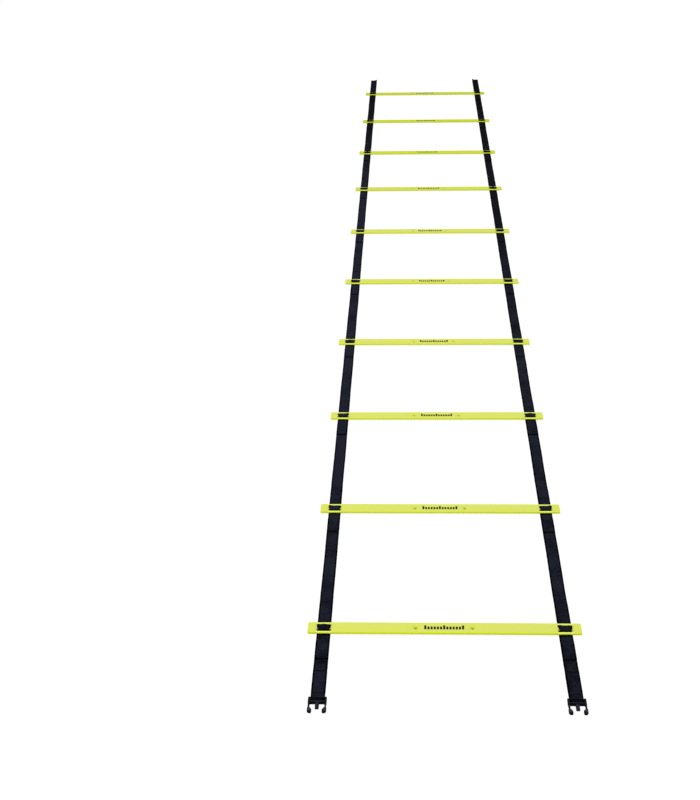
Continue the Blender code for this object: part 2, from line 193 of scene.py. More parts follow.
class LadderRung(bpy.types.PropertyGroup):
    """Sizes and colours of the rungs."""

    corner: length(0.0030, "Corner", "Radius of the corners seen from above")
    edge: length(0.0010, "Edge", "Radius of the long edges")
    glow: length(0.0034, "Glow width", "How far the deeper colour reaches in from the edges")
    bar: length(0.0060, "Outer bar", "Depth of the bar outside each slot")
    bar_round: length(0.0027, "Bar rounding", "How far the outer bars are rounded")
    slot: length(0.0070, "Slot", "Width of each slot along the ladder")
    slot_length: length(0.0270, "Slot length", "Length of each slot across the ladder")
    slot_corner: length(0.0018, "Slot corner", "Radius of the slots' corners")
    dimple_offset: length(0.0520, "Dimple place", "Distance of each dimple from the middle")
    dimple: length(0.0106, "Dimple", "Width of a dimple")
    dimple_depth: length(0.0024, "Dimple depth", "Depth of a dimple")
    ticks: bpy.props.IntProperty(name="Ticks", description="Number of printed ticks", default=13, min=3)
    tick_pitch: length(0.00575, "Tick pitch", "Distance from one printed tick to the next")
    tick_width: length(0.0041, "Tick width", "Width of a printed tick")
    tick_height: length(0.0096, "Tick height", "Height of a short tick")
    # The top colour is the plastic with a painted white sheen.
    top_colour_with_sheen: colour((0.695, 0.740, 0.145), "Plastic", "Colour of the plastic seen from above")
    # The side colour is the plastic's deeper colour, brightened as a painted glow.
    side_colour: colour((0.700, 0.810, 0.003), "Edge glow", "Deeper colour at the sides and edges")
    deep_colour: colour((0.640, 0.735, 0.006), "Deep plastic", "Colour of the rungs at the far end")
    # The bars' colour is a painted highlight.
    bar_highlight_colour: colour((0.840, 0.960, 0.165), "Bars", "Colour of the thin bars beside the slots")
    ink_colour: colour((0.006, 0.020, 0.010), "Ink", "Colour of the printed ticks")
    # The dimple floor's colour is a painted shade.
    pit_shade_colour: colour((0.070, 0.130, 0.020), "Dimple floor", "Colour at the bottom of a dimple")


class LadderPlug(bpy.types.PropertyGroup):
    """Sizes and colours of the side-release plugs."""

    rail: length(0.0032, "Rail", "Width of each rail")
    edge: length(0.0009, "Edge", "Radius of the base's edges")
    rib: length(0.0005, "Rib", "How far the nose's rib stands up")
    setback: length(0.0004, "Setback", "How far the rear bar stands in from the rails' ends")
    rear_bar: length(0.0024, "Rear bar", "Depth of the rear bar")
    rear_bar_height: length(0.0020, "Rear bar height", "Thickness of the rear bar")
    rear_slot: length(0.0033, "Rear slot", "Gap between the two bars")
    middle_bar: length(0.0028, "Middle bar", "Depth of the middle bar")
    middle_bar_height: length(0.0019, "Middle bar height", "Thickness of the middle bar")
    nose: length(0.0034, "Nose", "Depth of the nose")
    prong_length: length(0.0154, "Prong length", "How far the centre prong reaches")
    prong_width: length(0.0071, "Prong width", "Width of the centre prong")
    prong_height: length(0.0034, "Prong height", "Thickness of the centre prong")
    arm_inset: length(0.0020, "Arm inset", "Distance of an arm's root from the base's side")
    neck: length(0.0030, "Neck", "Thickness of an arm's neck")
    head_start: length(0.0120, "Head start", "Distance from an arm's root to its head")
    head_length: length(0.0132, "Head length", "Length of an arm's head")
    head_out: length(0.0024, "Head outside", "How far the head reaches outwards")
    head_in: length(0.0055, "Head inside", "How far the head reaches inwards")
    base_colour: colour((0.0003, 0.0003, 0.0008), "Plastic", "Colour of the moulded plastic")
    # This colour is a painted highlight on the plugs' upward crowns.
    highlight_colour: colour((0.0400, 0.0450, 0.0720), "Worn plastic", "Colour where it is rubbed")


class LadderStage(bpy.types.PropertyGroup):
    """The camera, the light and the floor."""

    lens: bpy.props.FloatProperty(
        name="Lens", description="Focal length", default=68.85, min=1.0, subtype="DISTANCE_CAMERA",
        unit="CAMERA",
    )
    heading: angle(-2.508, "Heading", "How far the camera is turned from the ladder's length")
    pitch: angle(25.0, "Pitch", "How far the camera looks down")
    roll: angle(-1.098, "Roll", "How far the camera is tilted")
    place: bpy.props.FloatVectorProperty(
        name="Camera", description="Where the camera stands", default=(-0.0609, -4.3925, 1.5705),
        size=3, subtype="TRANSLATION", unit="LENGTH",
    )
    sky: amount(0.67, "Sky", "Strength of the even light from all sides")
    lamp: amount(69.0, "Lamp", "Power of the soft lamp overhead, in watts")
    floor_colour: colour((0.80, 0.80, 0.80), "Floor", "Colour of the floor")


SETTINGS = {
    "ladder_webbing": LadderWebbing,
    "ladder_rung": LadderRung,
    "ladder_plug": LadderPlug,
    "ladder_stage": LadderStage,
}


# Surfaces


def placed(name, data):
    """A new object in the scene, at the origin."""
    made = bpy.data.objects.new(name, data)
    bpy.context.scene.collection.objects.link(made)
    return made


class Shell:
    """The patches of one piece, joined into a single mesh."""

    def __init__(self):
        self.points, self.webs, self.faces, self.kinds = [], [], [], []
        self.count = 0

    def add(self, points, *face_sets, kind=0, web=0.0):
        """Add points with their faces, and say which number the first point gets. web holds three numbers
        for each point: on webbing the distance along and across it and its share of painted shade, on
        rungs the painted shade in the dimples, on plugs the share of painted highlight."""
        first = self.count
        self.points.append(points)
        self.webs.append(np.broadcast_to(web, (len(points), 3)))
        self.count += len(points)
        for faces in face_sets:
            self.close(np.asarray(faces) + first, kind)
        return first

    def close(self, faces, kind):
        """Add faces between points that are already there."""
        self.faces += faces.tolist()
        self.kinds += [kind] * len(faces)

    def piece(self, name, *materials):
        """The finished object, smooth but for its sharp edges."""
        mesh = bpy.data.meshes.new(name)
        mesh.from_pydata(np.concatenate(self.points).tolist(), [], self.faces)
        mesh.polygons.foreach_set("material_index", np.array(self.kinds, np.int32))
        mesh.polygons.foreach_set("use_smooth", np.ones(len(self.faces), bool))
        web = mesh.attributes.new("web", "FLOAT_VECTOR", "POINT")
        web.data.foreach_set("vector", np.concatenate(self.webs).astype(np.float32).ravel())
        for material in materials:
            mesh.materials.append(material)
        mesh.update()
        mesh.set_sharp_from_angle(angle=SHARP)
        return placed(name, mesh)


def grid_faces(rows, columns):
    """Quads between the neighbouring rows and columns of a grid whose rows are closed rings."""
    row = np.arange(rows - 1)[:, None] * columns
    one = np.arange(columns)[None, :]
    two = (one + 1) % columns
    return np.stack([row + one, row + two, row + columns + two, row + columns + one], -1).reshape(-1, 4)


def tube_faces(rows, columns):
    """The faces of a closed tube of rings: its wall, its first end and its last end."""
    ring = np.arange(columns)[None]
    return grid_faces(rows, columns), ring[:, ::-1], ring + (rows - 1) * columns


def blend_step(value, low, high):
    """0 below low, 1 above high, and a smooth cubic between: 3t squared less 2t cubed."""
    t = np.clip((value - low) / (high - low), 0, 1)
    return t * t * (3 - 2 * t)


def marks(place, rows, width):
    """1 at each row, falling to 0 beside it: e to minus the square of the distance over the width."""
    return sum(np.exp(-(((place - row) / width) ** 2)) for row in rows)


def arc(before, corner, after, radius, steps):
    """The arc that turns a corner. Its centre lies where the lines one radius inside both edges cross,
    and its points are evenly spaced in angle."""
    come = (corner - before) / np.linalg.norm(corner - before)
    leave = (after - corner) / np.linalg.norm(after - corner)
    turn = math.atan2(come[0] * leave[1] - come[1] * leave[0], come @ leave)
    inward = np.sign(turn) * np.array([-come[1], come[0]])
    centre = corner - come * radius * math.tan(abs(turn) / 2) + inward * radius
    angles = turn * np.linspace(0, 1, steps + 1)[:, None]
    return centre - radius * (inward * np.cos(angles) - come * np.sign(turn) * np.sin(angles))


def rounded_loop(corners, radii, steps=6):
    """A closed outline through the corners, each turned with an arc. radii is one for all or a list."""
    corners = np.asarray(corners, float)
    turns = zip(
        np.roll(corners, 1, 0), corners, np.roll(corners, -1, 0), np.broadcast_to(radii, len(corners)),
    )
    return np.concatenate([arc(*turn, steps) for turn in turns])


def rounded_route(corners, radii, steps=7):
    """A route through the corners in Y and Z, each one but the ends turned with an arc of its radius."""
    corners = np.asarray(corners, float)
    turns = zip(corners, corners[1:], corners[2:], radii)
    return np.concatenate([corners[:1], *(arc(*turn, steps) for turn in turns), corners[-1:]])


def rectangle(left, right, near, far):
    """The corners of a rectangle, anticlockwise."""
    return [(left, near), (right, near), (right, far), (left, far)]


def smooth_loop(points, steps):
    """A closed curve through the points: each span is a cubic whose slope at a point is half the way from
    the point before to the point after."""
    a, b = np.roll(points, 1, 0)[:, None], points[:, None]
    c, d = np.roll(points, -1, 0)[:, None], np.roll(points, -2, 0)[:, None]
    t = np.linspace(0, 1, steps, endpoint=False)[None, :, None]
    curve = b + ((c - a) * t + (2 * a - 5 * b + 4 * c - d) * t**2 + (3 * b - a - 3 * c + d) * t**3) / 2
    return curve.reshape(-1, 2)


def at(places, run, route):
    """Both coordinates of a route at places along it."""
    return [np.interp(places, run, route[:, axis]) for axis in (0, 1)]


def even_route(route, step, stops=()):
    """The same route with points no further apart than step, its own points and the stops kept, and
    how far along it each point lies."""
    run = np.concatenate([[0], np.cumsum(np.linalg.norm(np.diff(route, axis=0), axis=1))])
    spans = [(a, b) for a, b in zip(run, run[1:]) if b - a > 1e-9]
    pieces = [np.linspace(a, b, max(2, math.ceil((b - a) / step) + 1)) for a, b in spans]
    places = np.unique(np.round(np.concatenate([*pieces, stops]), 7))
    return np.stack(at(places, run, route), 1), places


def inward_of(loop):
    """Unit vectors to the left of the way round a closed loop: into the material, with outsides drawn
    anticlockwise and holes clockwise."""
    ahead = np.roll(loop, -1, 0) - np.roll(loop, 1, 0)
    ahead /= np.linalg.norm(ahead, axis=1)[:, None]
    return np.stack([-ahead[:, 1], ahead[:, 0]], 1)


def within(points, ring):
    """True for the points inside a ring: a line from such a point to the right crosses it an odd number
    of times."""
    ahead = np.roll(ring, -1, 0)
    x, y = points[:, :1], points[:, 1:]
    spans = (ring[:, 1] > y) != (ahead[:, 1] > y)
    climb = ahead[:, 1] - ring[:, 1]
    crossing = ring[:, 0] + (y - ring[:, 1]) * (ahead[:, 0] - ring[:, 0]) / np.where(climb == 0, 1, climb)
    return (spans & (crossing > x)).sum(1) % 2 == 1


def fill_rings(rings, up):
    """Triangles inside the first ring and outside the others, chosen so that no point lies within the
    circle through a triangle's corners."""
    flat = np.concatenate(rings)
    edges, start = [], 0
    for ring in rings:
        index = np.arange(len(ring))
        edges += np.stack([start + index, start + np.roll(index, -1)], 1).tolist()
        start += len(ring)
    found = delaunay_2d_cdt(flat.tolist(), edges, [], 1, 1e-7)
    faces = np.array([ids[0] for ids in found[3]])[np.array(found[2])]
    for hole in rings[1:]:
        faces = faces[~within(flat[faces].mean(1), hole)]
    one, two, three = flat[faces[:, 0]], flat[faces[:, 1]], flat[faces[:, 2]]
    ahead, aside = two - one, three - one
    anticlockwise = np.sum(ahead[:, 0] * aside[:, 1] - ahead[:, 1] * aside[:, 0]) > 0
    return faces if anticlockwise == up else faces[:, ::-1]


def bowl(shell, top, kind, middle, radius, depth):
    """A round dent in a plate's top, of rings that shrink to a pole, with painted shade growing towards
    its bottom. Gives its outer ring and the number of that ring's first point."""
    turn = np.linspace(0, -2 * math.pi, 32, endpoint=False)
    circle = np.stack([np.cos(turn), np.sin(turn)], 1)
    spread = np.array([1.0, 0.96, 0.90, 0.80, 0.66, 0.50, 0.34, 0.18, 0.06])
    drop = depth * blend_step(1 - spread, -0.02, 0.50)
    drop[0] = 0
    rings = np.array(middle) + radius * spread[:, None, None] * circle
    heights = np.broadcast_to((top - drop)[:, None, None], (*rings.shape[:2], 1))
    points = np.concatenate([rings, heights], -1).reshape(-1, 3)
    count = len(circle)
    last = len(points) - count + np.arange(count)
    fan = np.stack([last, np.full(count, len(points)), np.roll(last, -1)], 1)
    # Painted shade, strongest at the bowl's bottom.
    pit_shade = np.append(np.repeat(1 - blend_step(spread, 0.30, 0.72), count), 1.0)
    wall = grid_faces(len(spread), count)[:, ::-1]
    points = np.vstack([points, (*middle, top - depth)])
    return rings[0], shell.add(points, wall, fan, kind=kind, web=pit_shade[:, None] * (0, 0, 1))


def slab(shell, loops, bottom, top, across, up, steps=5, kind=0, pits=(), inward=None, share=0.0):
    """A plate with rounded edges. At each point of each loop the wall is a quarter ellipse, a straight
    rise and a quarter ellipse: inset = across (1 - sin t) and height = up (1 - cos t) at the foot, and
    the same mirrored at the top. The inset goes square to the loop, or along inward, and across and up
    are one for all or a list, one for each loop. Pits are bowls in the top, each a middle, a radius and
    a depth. share is the plate's share of painted highlight on its upward crowns, which the plugs'
    material reads."""
    quarter = np.linspace(0, math.pi / 2, steps + 1)
    insets = np.concatenate([[1.0], 1 - np.sin(quarter), 1 - np.cos(quarter), [1.0]])
    rises = np.concatenate([[0.0], 1 - np.cos(quarter), 1 - np.sin(quarter), [0.0]])
    ledge = np.zeros((len(insets), 1))
    ledge[[0, -1]] = LEDGE
    half = len(insets) // 2
    tops, bottoms = [], []
    for number, loop in enumerate(loops):
        wide, tall = (size[number] if isinstance(size, list) else size for size in (across, up))
        inset = insets[:, None] * np.broadcast_to(wide, len(loop)) + ledge
        flat = loop + inset[..., None] * (inward_of(loop) if inward is None else inward)
        z = rises[:, None] * np.broadcast_to(tall, len(loop))
        z = np.concatenate([bottom + z[:half], top - z[half:]])
        points = np.concatenate([flat, z[..., None]], -1).reshape(-1, 3)
        highlighted = np.broadcast_to(share, z.shape).reshape(-1, 1) * (0, 0, 1)
        first = shell.add(points, grid_faces(len(insets), len(loop)), kind=kind, web=highlighted)
        bottoms.append((flat[0], first))
        tops.append((flat[-1], first + (len(insets) - 1) * len(loop)))
    tops += [bowl(shell, top, kind, *pit) for pit in pits]
    for rings, upward in ((tops, True), (bottoms, False)):
        faces = fill_rings([ring for ring, _ in rings], upward)
        index = np.concatenate([first + np.arange(len(ring)) for ring, first in rings])
        shell.close(index[faces], kind)


# Finishes


def maths(operation, flip=False):
    """A method of Amount that adds a Math node. With flip the other value comes first."""
    def method(self, *others):
        values = [*others, self] if flip else [self, *others]
        return self.finish.node("ShaderNodeMath", {"operation": operation}, dict(enumerate(values)))
    return method


class Amount:
    """A number or vector inside a material. An expression on it adds the nodes that work it out."""

    def __init__(self, finish, socket):
        self.finish = finish
        self.socket = socket

    __add__ = __radd__ = maths("ADD")
    __mul__ = __rmul__ = maths("MULTIPLY")
    __sub__ = maths("SUBTRACT")
    __rsub__ = maths("SUBTRACT", flip=True)
    __truediv__ = maths("DIVIDE")
    __pow__ = maths("POWER")
    __mod__ = maths("FLOORED_MODULO")
    __abs__ = maths("ABSOLUTE")
    floor = maths("FLOOR")
    sine = maths("SINE")
    larger = maths("MAXIMUM")
    smaller = maths("MINIMUM")

    def step(self, low, high):
        """0 below low, 1 above high, and smooth between."""
        sockets = {"Value": self, "From Min": low, "From Max": high, "To Min": 0.0, "To Max": 1.0}
        return self.finish.node("ShaderNodeMapRange", {"interpolation_type": "SMOOTHSTEP"}, sockets)


class Finish:
    """The nodes of a material or of the world, in the making."""

    def __init__(self, owner):
        owner.use_nodes = True
        self.tree = owner.node_tree
        self.tree.nodes.clear()

    def node(self, kind, settings, sockets, output=0):
        """Add a node, set it, fill or link its sockets, and give one of its outputs."""
        made = self.tree.nodes.new(kind)
        for key, value in settings.items():
            setattr(made, key, value)
        for key, value in sockets.items():
            socket = self.named(made.inputs, key)
            if isinstance(value, Amount):
                self.tree.links.new(value.socket, socket)
            else:
                socket.default_value = value
        return Amount(self, self.named(made.outputs, output))

    def named(self, sockets, key):
        """The socket with a number, an identifier or a name."""
        if isinstance(key, int):
            return sockets[key]
        return next(socket for socket in sockets if key in (socket.identifier, socket.name))

    def split(self, vector):
        """The three parts of a vector."""
        made = self.node("ShaderNodeSeparateXYZ", {}, {0: vector})
        return [Amount(self, socket) for socket in made.socket.node.outputs]

    def web(self):
        """The distance along and across the webbing and its share of painted shade; on rungs the painted
        shade in the dimples, on plugs the share of painted highlight.
        """
        return self.split(self.node("ShaderNodeAttribute", {"attribute_name": "web"}, {}, "Vector"))

    def place(self):
        """Where a point lies on the object, in metres."""
        return self.node("ShaderNodeTexCoord", {}, {}, "Object")

    def upward(self):
        """How far the surface faces up, from -1 to 1."""
        return self.split(self.node("ShaderNodeTexCoord", {}, {}, "Normal"))[2]

    def noise(self, scale, detail=2.0, roughness=0.5):
        """Smooth noise from 0 to 1."""
        sockets = {"Vector": self.place(), "Scale": scale, "Detail": detail, "Roughness": roughness}
        return self.node("ShaderNodeTexNoise", {}, sockets, "Fac")

    def mix(self, share, one, two):
        """A colour between two."""
        one, two = (v if isinstance(v, Amount) else (*v, 1.0) for v in (one, two))
        sockets = {"Factor_Float": share, "A_Color": one, "B_Color": two}
        return self.node("ShaderNodeMix", {"data_type": "RGBA"}, sockets, "Result_Color")

    def bump(self, height, distance, strength):
        """A normal from a height in metres times distance."""
        sockets = {"Strength": strength, "Distance": distance, "Height": height}
        return self.node("ShaderNodeBump", {}, sockets)

    def surface(self, **sockets):
        """The finished shader. What is the same all over is a plain value on its own socket."""
        named = {key.replace("_", " "): value for key, value in sockets.items()}
        self.finish_with(self.node("ShaderNodeBsdfPrincipled", {}, named))

    def finish_with(self, shader, output="ShaderNodeOutputMaterial"):
        """Link a shader to the output."""
        made = self.tree.nodes.new(output)
        self.tree.links.new(shader.socket, made.inputs["Surface"])


def finish_named(name):
    """Turns a function that lays out a finish into one that gives its material, made only once."""
    def keep(lay_out):
        def material(sizes):
            found = bpy.data.materials.get(name)
            if found is None:
                found = bpy.data.materials.new(name)
                lay_out(Finish(found), sizes)
            return found
        return material
    return keep


@finish_named("black_webbing")
def webbing_finish(finish, sizes):
    """Plain-woven black webbing. Warp yarns stand side by side, every second one half a row further on.
    The height of a yarn is a sine across it times a sine along it; the yarns' crowns take the yarn
    colour and the gaps between them a painted shade. Past the near end the webbing is faded, the left
    strap more than the right one. It gets dark towards the far end, the right strap from before the
    middle and the left one from past it. The third number of web adds painted shade at the rows of
    stitches, under the rungs, in the slots and inside the plugs."""
    along, across, seam_and_shade = finish.web()
    column = across / sizes.yarn_across
    row = along / sizes.yarn_along + (column.floor() % 2.0) * 0.5
    yarn = abs((column * math.pi).sine()) ** 0.8 * abs((row * math.pi).sine()) ** 0.6
    drift = finish.noise(150.0, 4.0, 0.6)
    broad = finish.noise(13.0, 2.0, 0.5)
    fuzz = finish.noise(1400.0, 2.0, 0.6)
    edge = abs(across).step(sizes.width / 2 - sizes.selvage * 1.30, sizes.width / 2 - sizes.selvage * 0.62)
    x, y, _ = finish.split(finish.place())
    right = x.step(-0.05, 0.05)
    left = 1 - right
    faded = y.step(-2.20, -1.70) * 0.10 + left * y.step(-1.80, -1.20) * 0.14
    kept = left * y.step(0.5, 1.7) * 0.75 + right * (y.step(-0.9, 0.6) * 0.62 + y.step(1.1, 2.2) * 0.34)
    level = yarn * 0.45 + (drift - 0.5) * 1.1 + (broad - 0.5) * 1.3 + fuzz * 0.30 + 0.12 + faded
    # The yarns' crowns take the yarn colour, and the gaps between them a painted shade.
    body = finish.mix(level.step(0.10, 0.85), sizes.gap_shade_colour, sizes.yarn_colour)
    # The selvage and the painted shade darken the webbing towards the selvage colour.
    dark = (edge * 0.9 + seam_and_shade).step(0.0, 1.0)
    finish.surface(
        Base_Color=finish.mix(dark.larger(kept), body, sizes.edge_and_shade_colour),
        Roughness=0.82 + (1 - yarn) * 0.12,
        Specular_IOR_Level=0.015,
        Normal=finish.bump(yarn * (1 - edge * 0.4) + fuzz * 0.25, 0.00016, 0.7),
    )


@finish_named("black_thread")
def thread_finish(finish, sizes):
    """Black sewing thread of two twisted plies: the height is a sine along a helix round the stitch,
    and the grooves between the plies get a painted shade.
    """
    along, turn, _ = finish.web()
    twist = (along * (2 * math.pi / 0.0009) + turn * 2.0).sine() * 0.5 + 0.5
    share = twist * 0.7 + finish.noise(900.0) * 0.3
    finish.surface(
        Base_Color=finish.mix(share, sizes.edge_and_shade_colour, sizes.thread_colour),
        Roughness=0.62 - twist * 0.1,
        Specular_IOR_Level=0.2,
        Normal=finish.bump(twist, 0.00007, 0.8),
    )


@finish_named("fluorescent_plastic")
def rung_finish(finish, sizes):
    """Fluorescent yellow-green plastic. Where it faces up it is pale, with a painted white sheen; where
    it faces sideways and near its outline it is deeper and brighter, a painted glow. On the thin bars
    beside the slots it is paler, a painted highlight, and it is deeper towards the far end. It has a
    fine moulded grain."""
    upward = abs(finish.upward())
    drift = finish.noise(14.0, 2.0)
    grain = finish.noise(1100.0, 2.0, 0.55)
    x, y, _ = finish.split(finish.place())
    outward = abs((y - (RUNG_PLACES[0] - SPACING / 2)) % SPACING - SPACING / 2)
    sideways = abs(x)
    # Painted glow: the sides and a band inside the top's outline take the side colour.
    rim = (outward - RUNG_SIZE[1] / 2).larger(sideways - RUNG_SIZE[0] / 2)
    side = (1 - upward).step(0.02, 0.45).larger(rim.step(-sizes.glow, -sizes.glow * 0.2) * 0.85)
    slot_end = sizes.slot_length / 2
    beside = 1 - abs(sideways - STRAP_X).step(slot_end - 0.001, slot_end + 0.002)
    # Painted highlight on the tops of the thin bars beside the slots.
    bars = beside * outward.step(0.0105, 0.0115) * upward.step(0.5, 0.9)
    cloudy = (drift * 0.6 + grain * 0.4).step(0.30, 0.75) * 0.20
    shade = finish.mix(side, sizes.top_colour_with_sheen, sizes.side_colour)
    shade = finish.mix(bars, shade, sizes.bar_highlight_colour)
    shade = finish.mix(cloudy, shade, sizes.side_colour)
    shade = finish.mix(y.step(0.15, 1.50) * 0.90, shade, sizes.deep_colour)
    finish.surface(
        # Painted shade in the dimples.
        Base_Color=finish.mix(finish.web()[2] * 0.85, shade, sizes.pit_shade_colour),
        Roughness=0.44 + grain * 0.12,
        Specular_IOR_Level=0.02,
        Normal=finish.bump(grain + drift * 0.5, 0.00005, 0.6),
    )


@finish_named("printed_ink")
def ink_finish(finish, sizes):
    """Dark green-black printing ink, a little scuffed."""
    wear_and_highlight = finish.noise(420.0, 3.0, 0.6)
    shade = finish.mix(wear_and_highlight.step(0.60, 0.80) * 0.25, sizes.ink_colour, sizes.side_colour)
    finish.surface(Base_Color=shade, Roughness=0.5 + wear_and_highlight * 0.15, Specular_IOR_Level=0.05)


@finish_named("black_moulding")
def plug_finish(finish, sizes):
    """Satin black moulded plastic with a fine spark grain, and a painted highlight on its upward crowns."""
    grain = finish.noise(2600.0, 2.0, 0.6)
    wear_and_highlight = finish.noise(160.0, 3.0, 0.55)
    # Painted highlight on upward crowns, by each part's share and a noise.
    crown = finish.upward().step(0.80, 0.99)
    highlight = crown * finish.web()[2] * (0.45 + wear_and_highlight.step(0.35, 0.70) * 0.55)
    finish.surface(
        Base_Color=finish.mix(highlight, sizes.base_colour, sizes.highlight_colour),
        Roughness=0.24 + grain * 0.12 + wear_and_highlight * 0.06,
        Specular_IOR_Level=0.04,
        Normal=finish.bump(grain, 0.00002, 0.5),
    )


# Pieces


def stand_in(node):
    """Let a piece take the place of a solid, which is hidden."""
    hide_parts(node)


def ribbon(name, sizes, side, route, along, width, cut, warp, seam_and_shade=None):
    """Webbing on the left or right along a route in Y and Z: a stadium, flat with round edges, is carried
    along it and stands square to it. cut says for either end whether it is a cut one, which is thinner,
    or meets another piece. warp(along, across) gives what is added in X, Y and Z, and the last argument,
    called with the places along, a share from 0 to 1 of painted shade that darkens the material."""
    half = sizes.thickness / 2
    flat = np.linspace(-1, 1, 17)
    bend = np.radians(np.arange(-60, 61, 30))
    unit_x = np.concatenate([flat, np.ones(5), flat[::-1], -np.ones(5)])[::-1]
    round_x = np.concatenate([np.zeros(17), np.cos(bend), np.zeros(17), -np.cos(bend)])[::-1]
    round_z = np.concatenate([-np.ones(17), np.sin(bend), np.ones(17), -np.sin(bend)])[::-1]
    heading = np.gradient(route, axis=0)
    heading /= np.linalg.norm(heading, axis=1)[:, None]
    thick = np.full((len(route), 1), half)
    thick[[0, -1], 0] *= np.where(cut, CUT_SHARE, 1.0)
    wide = np.broadcast_to(width, len(route))[:, None] / 2
    across = unit_x * (wide - half) + round_x * thick
    off = round_z * thick
    y, z = route[:, :1] - off * heading[:, 1:], route[:, 1:] + off * heading[:, :1]
    points = np.stack([side * STRAP_X + across, y, z], -1)
    reach = np.broadcast_to(along[:, None], across.shape)
    shade = 0 * reach if seam_and_shade is None else np.broadcast_to(seam_and_shade(along)[:, None], across.shape)
    web = np.stack([reach, across, shade], -1).reshape(-1, 3)
    shell = Shell()
    points = (points + warp(reach, across)).reshape(-1, 3)
    shell.add(points, *tube_faces(len(route), len(unit_x)), web=web)
    return shell.piece(name, webbing_finish(sizes))


def wave(along, period, phase):
    """A sine of the place along the webbing: of 2 pi times the place over the period, and the phase."""
    return np.sin(along * 2 * math.pi / period + phase)


def undulate(lift, place):
    """How the free webbing rises from the ground: the square of a sine of its length, with the phase of
    its place, faded out near the keepers at either end."""
    def warp(along, across):
        fade = blend_step(along, KEEPER_REACH, KEEPER_REACH + FADE)
        fade = fade * (1 - blend_step(along, SPACING - KEEPER_REACH - FADE, SPACING - KEEPER_REACH))
        roll = 0.35 * wave(along, 0.13, place * 3.1) * across / HALF_WIDTH
        rise = lift * fade * (wave(along, 0.19, place * 7.3) ** 2 + roll)
        shift = 0.5 * lift * fade * wave(along, 0.31, place * 5.7)
        return np.stack([shift, 0 * rise, np.maximum(rise, 0)], -1)
    return warp


